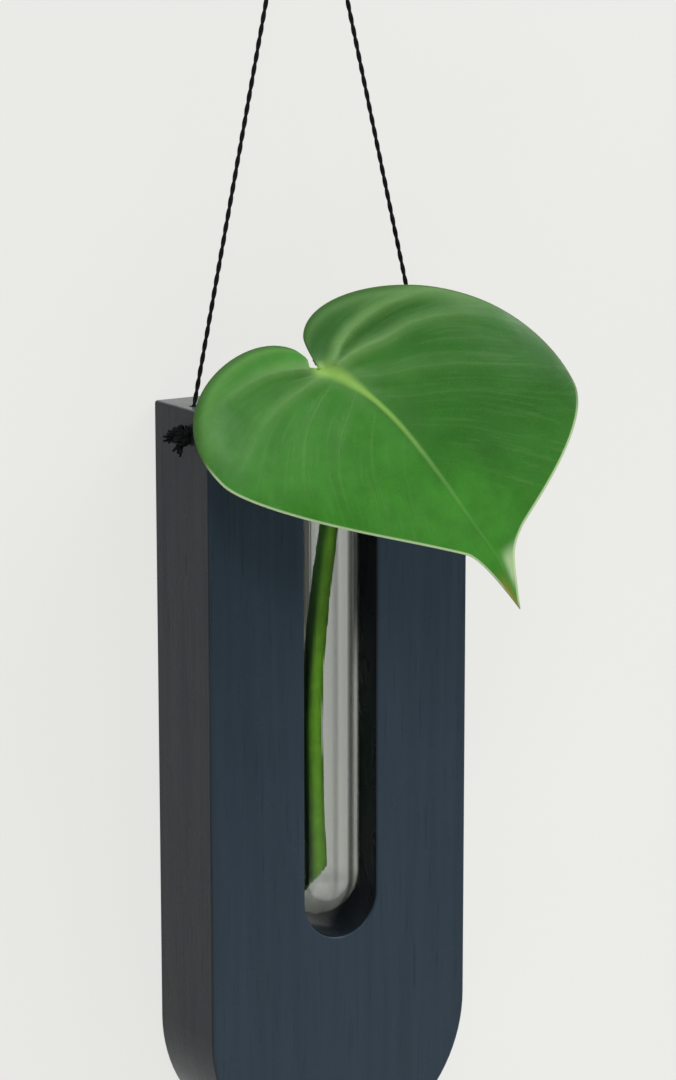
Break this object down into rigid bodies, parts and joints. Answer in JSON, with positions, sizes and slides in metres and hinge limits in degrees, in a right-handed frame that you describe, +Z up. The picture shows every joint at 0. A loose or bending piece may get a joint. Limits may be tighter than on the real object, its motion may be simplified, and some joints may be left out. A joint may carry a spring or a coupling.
{
  "type": "hanging wall vase",
  "caption": "Dark stained wooden block hung on a cord from a wall nail, with a round-ended slot and a glass test tube that holds water and a leaf cutting.",
  "frame": {"origin": "on the nail's axis, at the wall's face, where the nail's pin enters the wall", "axes": "+X to the right along the wall, +Y into the wall along the nail, +Z up"},
  "size_m": [0.0994, 0.1053, 0.3682],
  "materials": {
    "nail_steel": "plain bright steel",
    "stained_wood": "blue-black stain, satin",
    "twisted_cord": "twisted, matt",
    "clear_glass": "clear, polished",
    "green_stem": "smooth living stem",
    "green_leaf": "glossy living leaf"
  },
  "bodies": {
    "nail": {"wall_nail": "nail_steel"},
    "vase": {"wooden_block": "stained_wood", "hanging_cord": "twisted_cord", "left_knot": "twisted_cord", "right_knot": "twisted_cord"},
    "tube": {"glass_tube": "clear_glass"},
    "cutting": {"leaf_stem": "green_stem", "leaf_blade": "green_leaf"}
  },
  "joints": [
    {"name": "vase_swing", "type": "hinge", "parent": "nail", "child": "vase", "pos_m": [0, 0, 0], "axis": [0, 1, 0], "range_deg": [-25, 25]},
    {"name": "tube_lift", "type": "slide", "parent": "vase", "child": "tube", "axis": [0, 0, 1], "range_m": [0, 0.085]},
    {"name": "cutting_lift", "type": "slide", "parent": "tube", "child": "cutting", "axis": [-0.0033, -0.1035, 0.9946], "range_m": [0, 0.14]}
  ]
}
